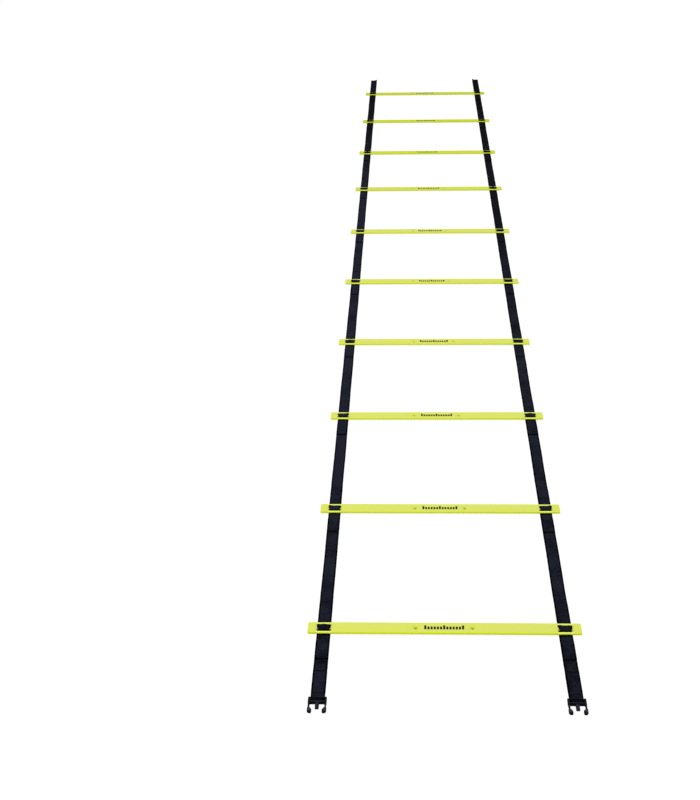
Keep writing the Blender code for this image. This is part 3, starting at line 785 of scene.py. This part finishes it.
class LADDER_OT_straps(bpy.types.Operator):
    """Lay the two straps: one length of webbing from rung to rung, with close points where each fold lies
    """

    bl_idname = "ladder.straps"
    bl_label = "Straps"
    bl_options = {"REGISTER", "UNDO"}

    def execute(self, context):
        sizes = context.scene.ladder_webbing
        for side_name, side in SIDES:
            for number in range(1, RUNGS):
                self.span(sizes, side_name, side, number)
            self.near_end(sizes, context.scene.ladder_plug, side_name, side)
            self.far_end(sizes, side_name, side)
        return {"FINISHED"}

    def span(self, sizes, side_name, side, number):
        """The webbing from one rung to the next, with close points over the length that a fold would
        take: as much as half a circle round the fold's axis measures, within a limit."""
        half = sizes.thickness / 2
        ends = np.array([(place, half) for place in RUNG_PLACES[number - 1:number + 1]])
        fold = FOLDS[f"fold_{number:02d}"]
        bend = min(max(math.pi * abs(fold[2] - half) / 2, 2.5 * half), BEND_LIMIT)
        route, along = even_route(ends, 0.006, SPACING / 2 + np.linspace(-bend, bend, 41))
        made = ribbon(
            f"web_{side_name}_{number:02d}_{number + 1:02d}", sizes, side, route, along,
            sizes.width + sizes.spread, MEETS, undulate(sizes.lift, number + 0.5 * side),
        )
        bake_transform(made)
        stand_in(f"strap_{side_name}_{number:02d}")

    def near_end(self, sizes, plug, side_name, side):
        """The near end goes up onto its own tail, under the plug's rear bar, round its middle bar and
        back."""
        half = sizes.thickness / 2
        upper = half + sizes.thickness + PLAY
        bar = PLUG_REAR - plug.setback - plug.rear_bar - plug.rear_slot
        rise = bar + plug.rear_slot / 2
        over = sizes.thickness + PLAY + plug.middle_bar_height + PLAY + half
        loop = (over - half) / 2
        turn = bar - plug.middle_bar - loop
        bend = min(over - upper, plug.rear_slot) / 2
        corners = [
            (RUNG_PLACES[0], half), (TAIL_END + TAIL_STEP, half), (TAIL_END, upper), (rise, upper),
            (rise, over), (turn, over), (turn, half), (TAIL_END, half),
        ]
        rounded = rounded_route(corners, [STEP_RADIUS, STEP_RADIUS, bend, bend, loop, loop])
        stops = np.add.outer(RUNG_PLACES[0] - np.array(NEAR_ROWS), np.linspace(-0.0024, 0.0024, 9))
        route, along = even_route(rounded, 0.005, stops.ravel())

        def pressed(run, across):
            """The rows of stitches press the upper layer down."""
            y, z = at(run, along, route)
            drop = -TAIL_PRESS * marks(y, NEAR_ROWS, 0.0009) * (z > (upper + half) / 2)
            return np.stack([0 * drop, 0 * drop, drop], -1)

        def shaded(run):
            """Dark at the rows of stitches and inside the plug, but for the crown over its middle bar."""
            y, z = at(run, along, route)
            rows = marks(y, NEAR_ROWS, 0.0013) * (z > (upper + half) / 2)
            crown = marks(y, [bar - plug.middle_bar / 2], 0.0021) * (z > over - 0.001)
            inside = 1 - blend_step(y, PLUG_REAR - 0.0010, PLUG_REAR + 0.0010)
            return np.clip(rows + inside * (1 - crown), 0, 1)

        width = sizes.width + sizes.spread * blend_step(route[:, 0], PLUG_REAR + 0.004, PLUG_REAR + 0.030)
        made = ribbon(
            f"web_{side_name}_near", sizes, side, route, along, width, CUT_LAST, pressed, shaded,
        )
        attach(made, "section_01")
        stand_in(f"strap_{side_name}_01")

    def far_end(self, sizes, side_name, side):
        """The far end is a plain cut, a little curled, most of all at its outer corner."""
        half = sizes.thickness / 2
        reach = FAR_END - RUNG_PLACES[-1]
        route, along = even_route(np.array([(RUNG_PLACES[-1], half), (FAR_END, half)]), 0.006)

        def curled(run, across):
            """The square of a sine, and at the tip a curl that grows as the square of the place across."""
            fade = blend_step(run, KEEPER_REACH, KEEPER_REACH + FADE)
            corner = np.clip(-side * across / HALF_WIDTH, 0, 1)
            curl = blend_step(run, reach - CURL_LENGTH, reach) * (CURL_RISE + CORNER_RISE * corner**2)
            rise = sizes.lift * fade * wave(run, 0.15, 0) ** 2 + curl
            return np.stack([0 * rise, 0 * rise, rise], -1)

        made = ribbon(
            f"web_{side_name}_far", sizes, side, route, along, sizes.width + sizes.spread, CUT_LAST, curled,
            lambda run: blend_step(run, reach - 0.0025, reach - 0.0005) * 0.7,
        )
        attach(made, f"section_{RUNGS:02d}")
        stand_in(f"strap_{side_name}_{RUNGS:02d}")


def seam_bow(out, across):
    """How far a keeper's end is bowed at a distance from the rung, as the square of the place across."""
    return SEAM_BOW * blend_step(out, 0.080, KEEPER_REACH) * (across / HALF_WIDTH) ** 2


class LADDER_OT_keepers(bpy.types.Operator):
    """Lay the keepers: webbing sewn down at both ends, up through the slots and over the middle bar"""

    bl_idname = "ladder.keepers"
    bl_label = "Keepers"
    bl_options = {"REGISTER", "UNDO"}

    def execute(self, context):
        for side_name, side in SIDES:
            for number in range(1, RUNGS + 1):
                node, middle = f"keeper_{side_name}_{number:02d}", RUNG_PLACES[number - 1]
                for end_name, end in (("near", -1), ("far", 1)):
                    made = self.half_keeper(context.scene, f"{node}_{end_name}_half", side, number, end)
                    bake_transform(made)
                    stand_in(node)
        return {"FINISHED"}

    def half_keeper(self, scene, name, side, number, end):
        """One half of a keeper, from its sewn end to the middle of its rung."""
        sizes, rung = scene.ladder_webbing, scene.ladder_rung
        low, high = KEEPER_LOW[2] + sizes.thickness / 2, KEEPER_HIGH[2] - sizes.thickness / 2
        shoulder = RUNG_SIZE[1] / 2 - rung.bar - rung.slot / 2 + FAR_SHIFT * (end > 0)
        bend = min(high - low, rung.slot) / 2
        corners = [(-KEEPER_REACH, low), (-shoulder, low), (-shoulder, high), (0, high)]
        stops = np.add.outer(KEEPER_REACH - np.array(SEAM_ROWS), np.linspace(-0.0012, 0.0012, 7))
        flat, along = even_route(rounded_route(corners, [bend, bend]), 0.004, stops[stops > 0.0002])
        flat[:, 0] *= -1
        if end > 0:
            flat, along = flat[::-1], (2 * along[-1] - along)[::-1]
        route = np.stack([RUNG_PLACES[number - 1] + end * flat[:, 0], flat[:, 1]], 1)
        phase = 1.7 * number + 0.9 * side
        width = sizes.width + sizes.spread
        if end < 0:
            inside = blend_step(flat[:, 0], 0.0005, 0.0075) * (1 - blend_step(flat[:, 0], 0.011, 0.040))
            width = width - 2 * sizes.pinch * inside

        def warp(run, across):
            """The lean over the far bar, the crown, the pressed rows of stitches and the bowed cut end."""
            out, height = at(run, along, flat)
            raised = blend_step(height, low + 0.003, high)
            u = across / HALF_WIDTH
            waves = 0.42 + 0.48 * np.cos(u * 2.4 + phase) + 0.34 * np.cos(u * 5.1 - phase)
            lean = sizes.bridge_push * raised * blend_step(out, 0.001, shoulder) * np.clip(waves, 0, None)
            rise = CROWN_RISE * raised * np.cos(u * 1.5) - SEAM_PRESS * marks(out, SEAM_ROWS, 0.00045)
            return np.stack([0 * run, lean * (end > 0) - end * seam_bow(out, across), rise], -1)

        def seam_and_shade(run):
            """Painted shade: dark at the rows of stitches, and on the near side also at the cut end, under
            the rung and in the slot.
            """
            out, height = at(run, along, flat)
            rows = marks(out, SEAM_ROWS, 0.0008)
            if end > 0:
                return np.clip(rows, 0, 1) * 0.90
            # Painted shade on the near cut end and the rows beyond it.
            cut = blend_step(out, SEAM_ROWS[0] - 0.0016, SEAM_ROWS[0] - 0.0004)
            # Painted shadow on the keeper just in front of the rung's near edge.
            under = marks(out, [RUNG_SIZE[1] / 2 + 0.0014], 0.0014)
            # Painted shade where the keeper goes down into the near slot.
            slot = 0.6 * (1 - blend_step(height, high - 0.0030, high - 0.0006)) * (out < 0.012)
            return np.clip(rows + cut + under + slot, 0, 1)

        return ribbon(name, sizes, side, route, along, width, (end < 0, end > 0), warp, seam_and_shade)


class LADDER_OT_seams(bpy.types.Operator):
    """Sew the keepers and the tails down with rows of stitches"""

    bl_idname = "ladder.seams"
    bl_label = "Seams"
    bl_options = {"REGISTER", "UNDO"}

    def execute(self, context):
        sizes = context.scene.ladder_webbing
        keeper_top = KEEPER_LOW[2] + sizes.thickness - SEAM_PRESS
        tail_top = 2 * sizes.thickness + PLAY - TAIL_PRESS
        count = int((sizes.width - 0.004) / sizes.stitch_pitch)
        across = (np.arange(count) - (count - 1) / 2) * sizes.stitch_pitch
        for number in range(1, RUNGS + 1):
            rows = []
            for _, side in SIDES:
                for end in (-1, 1):
                    for order, row in enumerate(SEAM_ROWS):
                        x = across + (order - 0.5) * sizes.stitch_pitch / 2
                        y = RUNG_PLACES[number - 1] + end * (row - seam_bow(row, x))
                        rows.append((side * STRAP_X + x, y, keeper_top))
                if number == 1:
                    rows += [(side * STRAP_X + across, row, tail_top) for row in NEAR_ROWS]
            places = np.concatenate([np.stack(np.broadcast_arrays(*row), -1) for row in rows])
            shell = Shell()
            self.stitches(shell, places, sizes.stitch, sizes.thread)
            made = shell.piece(f"stitches_{number:02d}", thread_finish(sizes))
            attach(made, f"section_{number:02d}")
        return {"FINISHED"}

    def stitches(self, shell, places, size, thread):
        """Stitches as short rounded rods across the webbing. Each rod's radius is the thread's times the
        square root of 1 - t to the fourth, where t runs from -1 to 1 along it."""
        t = np.array([-1.0, -0.85, 0.0, 0.85, 1.0])
        radius = thread / 2 * np.sqrt(1 - t**4)
        radius[[0, -1]] = thread * 0.12
        turn = np.linspace(0, 2 * math.pi, 6, endpoint=False)
        along = np.broadcast_to((t * size / 2)[:, None], (len(t), len(turn)))
        sink = thread * 0.25 * (t**4)[:, None]
        rise = radius[:, None] * np.sin(turn) - sink
        rod = np.stack([along, radius[:, None] * np.cos(turn), rise], -1).reshape(-1, 3)
        web = np.stack([along, np.broadcast_to(turn, along.shape), 0 * along], -1).reshape(-1, 3)
        steps = np.arange(len(places))[:, None, None] * len(rod)
        faces = [(part + steps).reshape(-1, part.shape[1]) for part in tube_faces(len(t), len(turn))]
        shell.add((places[:, None] + rod).reshape(-1, 3), *faces, web=np.tile(web, (len(places), 1)))


class LADDER_OT_rungs(bpy.types.Operator):
    """Mould the rungs: a flat slat with a pair of slots at each end, two dimples and a printed scale"""

    bl_idname = "ladder.rungs"
    bl_label = "Rungs"
    bl_options = {"REGISTER", "UNDO"}

    def execute(self, context):
        sizes = context.scene.ladder_rung
        shell = Shell()
        self.slat(shell, sizes)
        self.scale(shell, sizes)
        rest = shell.points
        for number, place in enumerate(RUNG_PLACES, 1):
            shell.points = [points + np.array([0, place, 0]) for points in rest]
            made = shell.piece(f"slat_{number:02d}", rung_finish(sizes), ink_finish(sizes))
            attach(made, f"rung_body_{number:02d}")
            stand_in(f"rung_{number:02d}")
        return {"FINISHED"}

    def slat(self, shell, sizes):
        """The plate with its slots and dimples. Its edges are rounder on the bars outside the slots. The
        slots' loops run clockwise, so those on the near side, drawn mirrored, are turned round."""
        half_y, slot_end = RUNG_SIZE[1] / 2, sizes.slot_length / 2
        outer = half_y - sizes.bar
        inner = outer - sizes.slot
        outside = self.outline(sizes, slot_end)
        reach = np.abs(np.abs(outside[:, 0]) - STRAP_X)
        beside = 1 - blend_step(reach, slot_end - 0.0015, slot_end + 0.0020)
        beside = beside * (np.abs(np.abs(outside[:, 1]) - half_y) < 1e-6)
        loops = [outside]
        across = [sizes.edge + (sizes.bar_round - sizes.edge) * beside]
        up = [sizes.edge + (BAR_RISE - sizes.edge) * beside]
        for _, side in SIDES:
            for end in (-1, 1):
                corners = [
                    (side * STRAP_X + u * slot_end, end * v)
                    for u, v in ((-1, inner), (-1, outer), (1, outer), (1, inner))
                ]
                loop = rounded_loop(corners, sizes.slot_corner)
                fine, _ = even_route(np.concatenate([loop, loop[:1]]), 0.003)
                loop = fine[:-1][::end]
                on_bar = blend_step(np.abs(loop[:, 1]), outer - 0.0025, outer - 0.0004)
                loops.append(loop)
                across.append(SLOT_EDGE + (sizes.bar_round - SLOT_EDGE) * on_bar)
                up.append(SLOT_RISE + (BAR_RISE - SLOT_RISE) * on_bar)
        pits = [
            ((side * sizes.dimple_offset, -0.0004), sizes.dimple / 2, sizes.dimple_depth)
            for _, side in SIDES
        ]
        slab(shell, loops, RUNG_LOW[2], RUNG_HIGH[2], across, up, pits=pits)

    def outline(self, sizes, slot_end):
        """The outside of the rung, with close points beside the slots."""
        half_x, half_y = RUNG_SIZE[0] / 2, RUNG_SIZE[1] / 2
        loop = rounded_loop(rectangle(-half_x, half_x, -half_y, half_y), sizes.corner, 8)
        dense = np.arange(STRAP_X - slot_end - 0.004, STRAP_X + slot_end + 0.0045, 0.0005)
        xs = np.unique(np.round(np.concatenate([-dense, np.linspace(-0.19, 0.19, 20), dense]), 6))
        ys = np.full(len(xs), half_y)
        near, far = np.stack([xs, -ys], 1), np.stack([xs[::-1], ys], 1)
        corner = len(loop) // 4
        return np.concatenate([loop[:corner], near, loop[corner:3 * corner], far, loop[3 * corner:]])

    def scale(self, shell, sizes):
        """A row of printed ticks in the middle, every sixth one longer."""
        base = -sizes.tick_height / 2 - 0.001
        top = RUNG_HIGH[2]
        for number in range(sizes.ticks):
            x = (number - (sizes.ticks - 1) / 2) * sizes.tick_pitch
            tall = sizes.tick_height * (1.40 if number % 6 == 0 else 1.0)
            corners = rectangle(x - sizes.tick_width / 2, x + sizes.tick_width / 2, base, base + tall)
            loop = rounded_loop(corners, sizes.tick_width * 0.2, 3)
            slab(shell, [loop], top - 0.0001, top + PRINT_RISE, 0.00003, 0.00003, steps=1, kind=1)


class LADDER_OT_plugs(bpy.types.Operator):
    """Mould the plugs' bases: two rails, a nose with a centre prong, a rear bar and a middle bar"""

    bl_idname = "ladder.plugs"
    bl_label = "Plug bases"
    bl_options = {"REGISTER", "UNDO"}

    def execute(self, context):
        sizes = context.scene.ladder_plug
        layer = context.scene.ladder_webbing.thickness + PLAY
        height = PLUG_HIGH[2] - sizes.rib
        front = PLUG_LOW[1] + sizes.prong_length
        nose = front + sizes.nose
        outer = PLUG_WIDTH / 2
        inner = outer - sizes.rail - 0.0003
        rear = PLUG_REAR - sizes.setback - sizes.rear_bar / 2
        middle_bar = rear - sizes.rear_bar / 2 - sizes.rear_slot - sizes.middle_bar / 2
        rib = front + sizes.nose / 2
        for side_name, side in SIDES:
            middle = side * STRAP_X
            shell = Shell()
            corners = [
                (-outer, front), (outer, front), (outer, PLUG_REAR), (inner, PLUG_REAR), (inner, nose),
                (-inner, nose), (-inner, PLUG_REAR), (-outer, PLUG_REAR),
            ]
            radii = [0.0030, 0.0030, 0.0014, 0.0014, 0.0008, 0.0008, 0.0014, 0.0014]
            loop = rounded_loop(corners, radii) + np.array([middle, 0])
            # share, here and for the bars below, is each part's share of painted highlight.
            slab(shell, [loop], 0, height, sizes.edge, 0.0012, share=0.08)
            for reach, y, depth, bottom, thick, radius, share in (
                (inner + 0.001, rear, sizes.rear_bar, 2 * layer, sizes.rear_bar_height, 0.0009, 0.05),
                (inner + 0.001, middle_bar, sizes.middle_bar, layer, sizes.middle_bar_height, 0.0008, 0.05),
                (inner - 0.0005, rib, 0.0020, height - 0.001, 0.001 + sizes.rib, 0.0005, 1.0),
            ):
                section = rectangle(y - depth / 2, y + depth / 2, bottom, bottom + thick)
                self.bar(shell, middle, reach, rounded_loop(section, radius, 5), share)
            self.prong(shell, sizes, middle, front, height / 2)
            made = shell.piece(f"plug_base_{side_name}", plug_finish(sizes))
            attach(made, "section_01")
            stand_in(f"plug_{side_name}")
        return {"FINISHED"}

    def bar(self, shell, middle, reach, section, share):
        """A bar across the plug: an outline in Y and Z carried straight along X."""
        count = len(section)
        ends = [np.column_stack([np.full(count, middle + x), section]) for x in (-reach, reach)]
        shell.add(np.concatenate(ends), *tube_faces(2, count), web=(0, 0, share))

    def prong(self, shell, sizes, middle, front, z):
        """The centre prong, a little narrower at its tip, with a rib along its top and its underside."""
        wide, thick = sizes.prong_width / 2, sizes.prong_height / 2
        root, tip = front + 0.0016, front - sizes.prong_length
        # The last number of each part is its share of painted highlight.
        for base, end, reach, radii, rise, across, up, share in (
            (wide, wide * 0.95, tip, [0.0010, 0.0012, 0.0012, 0.0010], thick, 0.0007, 0.0009, 0.55),
            (0.0011, 0.0009, tip + 0.0035, 0.0008, thick + 0.0006, 0.0005, 0.0005, 0.75),
        ):
            corners = [
                (middle - base, root), (middle - end, reach), (middle + end, reach), (middle + base, root),
            ]
            slab(shell, [rounded_loop(corners, radii)], z - rise, z + rise, across, up, share=share)


class LADDER_OT_arms(bpy.types.Operator):
    """Mould the plugs' spring arms: a thin neck and a drop-shaped head"""

    bl_idname = "ladder.arms"
    bl_label = "Plug arms"
    bl_options = {"REGISTER", "UNDO"}

    def execute(self, context):
        sizes = context.scene.ladder_plug
        for side_name, side in SIDES:
            for edge_name, outward in (("inner", -side), ("outer", side)):
                node = f"plug_{side_name}_{edge_name}_arm"
                shell = Shell()
                self.arm(shell, sizes, *node_box(node), side, outward)
                made = shell.piece(f"plug_spring_{side_name}_{edge_name}", plug_finish(sizes))
                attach(made, f"{node}_body")
                stand_in(node)
        return {"FINISHED"}

    def arm(self, shell, sizes, low, high, side, outward):
        """An arm within its solid's box. Its neck has small round edges, and its head is rounded towards
        a spine along its middle. Its material gets a painted highlight on the near part of its head."""
        root_x = side * STRAP_X + outward * (PLUG_WIDTH / 2 - sizes.arm_inset)
        root_y = high[1] - sizes.neck / 2
        loop = self.outline(sizes) * np.array([outward, 1]) + np.array([root_x, root_y])
        loop = loop[::outward]
        reach = (root_y - loop[:, 1]) / (root_y - low[1])
        head = blend_step(reach, 0.45, 0.62)
        spine_x = root_x - outward * head * (sizes.head_in - sizes.head_out) / 2
        spine_y = np.maximum(loop[:, 1], low[1] + (sizes.head_in + sizes.head_out) / 2)
        across = 0.0005 / sizes.neck * 2 * (1 - head) + 0.62 * head
        lit = head * (1 - blend_step(reach, 0.70, 0.90))
        slab(
            shell, [loop], low[2], high[2], across, 0.0005 + 0.0012 * head, steps=6,
            inward=np.stack([spine_x, spine_y], 1) - loop, share=0.15 + 0.85 * lit,
        )

    def outline(self, sizes):
        """Round an arm that points to -Y and whose outer side is +X, about its root."""
        half = sizes.neck / 2
        start, out, into = -sizes.head_start, sizes.head_out, sizes.head_in
        inside = (
            (-0.40, -0.02), (-0.76, 0.10), (-0.96, 0.30), (-1.00, 0.56), (-0.97, 0.83), (-0.76, 0.98),
            (-0.38, 1.00), (-0.02, 0.95),
        )
        outside = ((0.78, 0.78), (1.00, 0.50), (1.00, 0.14))
        head = [(u * into, v) for u, v in inside] + [(u * out, v) for u, v in outside]
        head.append((half + 0.72 * (out - half), -0.02))
        points = [
            (-half - 0.0012, 0.0022), (-half - 0.0008, 0.0008), (-half - 0.0001, -0.0018), (-half, -0.0060),
            (-half, start + 0.0018), *((x, start - v * sizes.head_length) for x, v in head),
            (half, start + 0.0022), (half, -0.0060), (half + 0.0001, -0.0018), (half + 0.0003, 0.0022),
        ]
        return smooth_loop(np.array(points), 4)


class LADDER_OT_stage(bpy.types.Operator):
    """Set the camera, the soft light and the white floor"""

    bl_idname = "ladder.stage"
    bl_label = "Stage"
    bl_options = {"REGISTER", "UNDO"}

    def execute(self, context):
        sizes = context.scene.ladder_stage
        context.scene.view_settings.view_transform = "Standard"
        self.camera(context, sizes)
        self.floor(sizes)
        self.sky(context, sizes)
        self.lamp(sizes)
        return {"FINISHED"}

    def camera(self, context, sizes):
        """The camera stands where the photograph was taken from. It is rolled about its view, tipped up
        from looking straight down to its pitch, and turned to its heading."""
        data = bpy.data.cameras.new("camera")
        data.lens = sizes.lens
        data.sensor_width = 36.0
        camera = placed("camera", data)
        turned = Matrix.Rotation(-sizes.heading, 4, "Z")
        tipped = Matrix.Rotation(math.pi / 2 - sizes.pitch, 4, "X")
        rolled = Matrix.Rotation(sizes.roll, 4, "Z")
        camera.matrix_world = Matrix.Translation(sizes.place) @ turned @ tipped @ rolled
        context.scene.camera = camera

    def seen(self, finish):
        """1 for what the camera sees, straight or through a reflection or clear plastic."""
        outputs = finish.node("ShaderNodeLightPath", {}, {}).socket.node.outputs
        names = ("Is Camera Ray", "Is Glossy Ray", "Is Transmission Ray")
        straight, mirrored, through = (Amount(finish, outputs[name]) for name in names)
        return (straight + mirrored + through).smaller(1.0)

    def floor(self, sizes):
        """A wide white floor. The camera sees it as part lit floor and part white, so it stays white
        where it is clear and keeps the ladder's soft shadow."""
        white_floor = bpy.data.materials.new("white_floor")
        finish = Finish(white_floor)
        lit = finish.node("ShaderNodeBsdfDiffuse", {}, {"Color": (*sizes.floor_colour, 1.0)})
        sockets = {"Color": (1.0, 1.0, 1.0, 1.0), "Strength": FLOOR_WHITE}
        white = finish.node("ShaderNodeEmission", {}, sockets)
        share = self.seen(finish) * FLOOR_SHARE
        finish.finish_with(finish.node("ShaderNodeMixShader", {}, {0: share, 1: lit, 2: white}))
        mesh = bpy.data.meshes.new("floor")
        corners = [(x, y, 0) for x, y in rectangle(-60.0, 60.0, -60.0, 60.0)]
        mesh.from_pydata(corners, [], [(0, 1, 2, 3)])
        mesh.materials.append(white_floor)
        floor = placed("floor", mesh)

    def sky(self, context, sizes):
        """White where it is seen, and plain even light on everything else."""
        world = bpy.data.worlds.new("studio")
        context.scene.world = world
        finish = Finish(world)
        level = sizes.sky + self.seen(finish) * (1.0 - sizes.sky)
        sockets = {"Color": (1.0, 1.0, 1.0, 1.0), "Strength": level}
        finish.finish_with(finish.node("ShaderNodeBackground", {}, sockets), "ShaderNodeOutputWorld")

    def lamp(self, sizes):
        """A large soft lamp high over the near half of the ladder, a little to the left."""
        data = bpy.data.lights.new("soft_lamp", "AREA")
        data.shape = "RECTANGLE"
        data.size = 3.0
        data.size_y = 6.0
        data.energy = sizes.lamp
        lamp = placed("soft_lamp", data)
        lamp.location = (-0.8, -1.5, 3.2)
        lamp.rotation_euler = (0.0, math.radians(-14.0), 0.0)


PIECES = (
    LADDER_OT_straps, LADDER_OT_keepers, LADDER_OT_seams, LADDER_OT_rungs, LADDER_OT_plugs, LADDER_OT_arms,
    LADDER_OT_stage,
)


class LADDER_PT_pieces(bpy.types.Panel):
    """Lists what can be built"""

    bl_label = "Agility Ladder"
    bl_idname = "LADDER_PT_pieces"
    bl_space_type = "VIEW_3D"
    bl_region_type = "UI"
    bl_category = "Ladder"

    def draw(self, context):
        for operator in PIECES:
            self.layout.operator(operator.bl_idname)


CLASSES = (*SETTINGS.values(), *PIECES, LADDER_PT_pieces)


def register():
    """Register the classes and hang the settings on the scene."""
    for made in CLASSES:
        bpy.utils.register_class(made)
    for name, group in SETTINGS.items():
        setattr(bpy.types.Scene, name, bpy.props.PointerProperty(type=group))


def unregister():
    """Take the settings and the classes away again."""
    for name in SETTINGS:
        delattr(bpy.types.Scene, name)
    for made in reversed(CLASSES):
        bpy.utils.unregister_class(made)


def main():
    """Build every piece in order."""
    register()
    for operator in PIECES:
        group, name = operator.bl_idname.split(".")
        getattr(getattr(bpy.ops, group), name)()


if __name__ == "__main__":
    main()
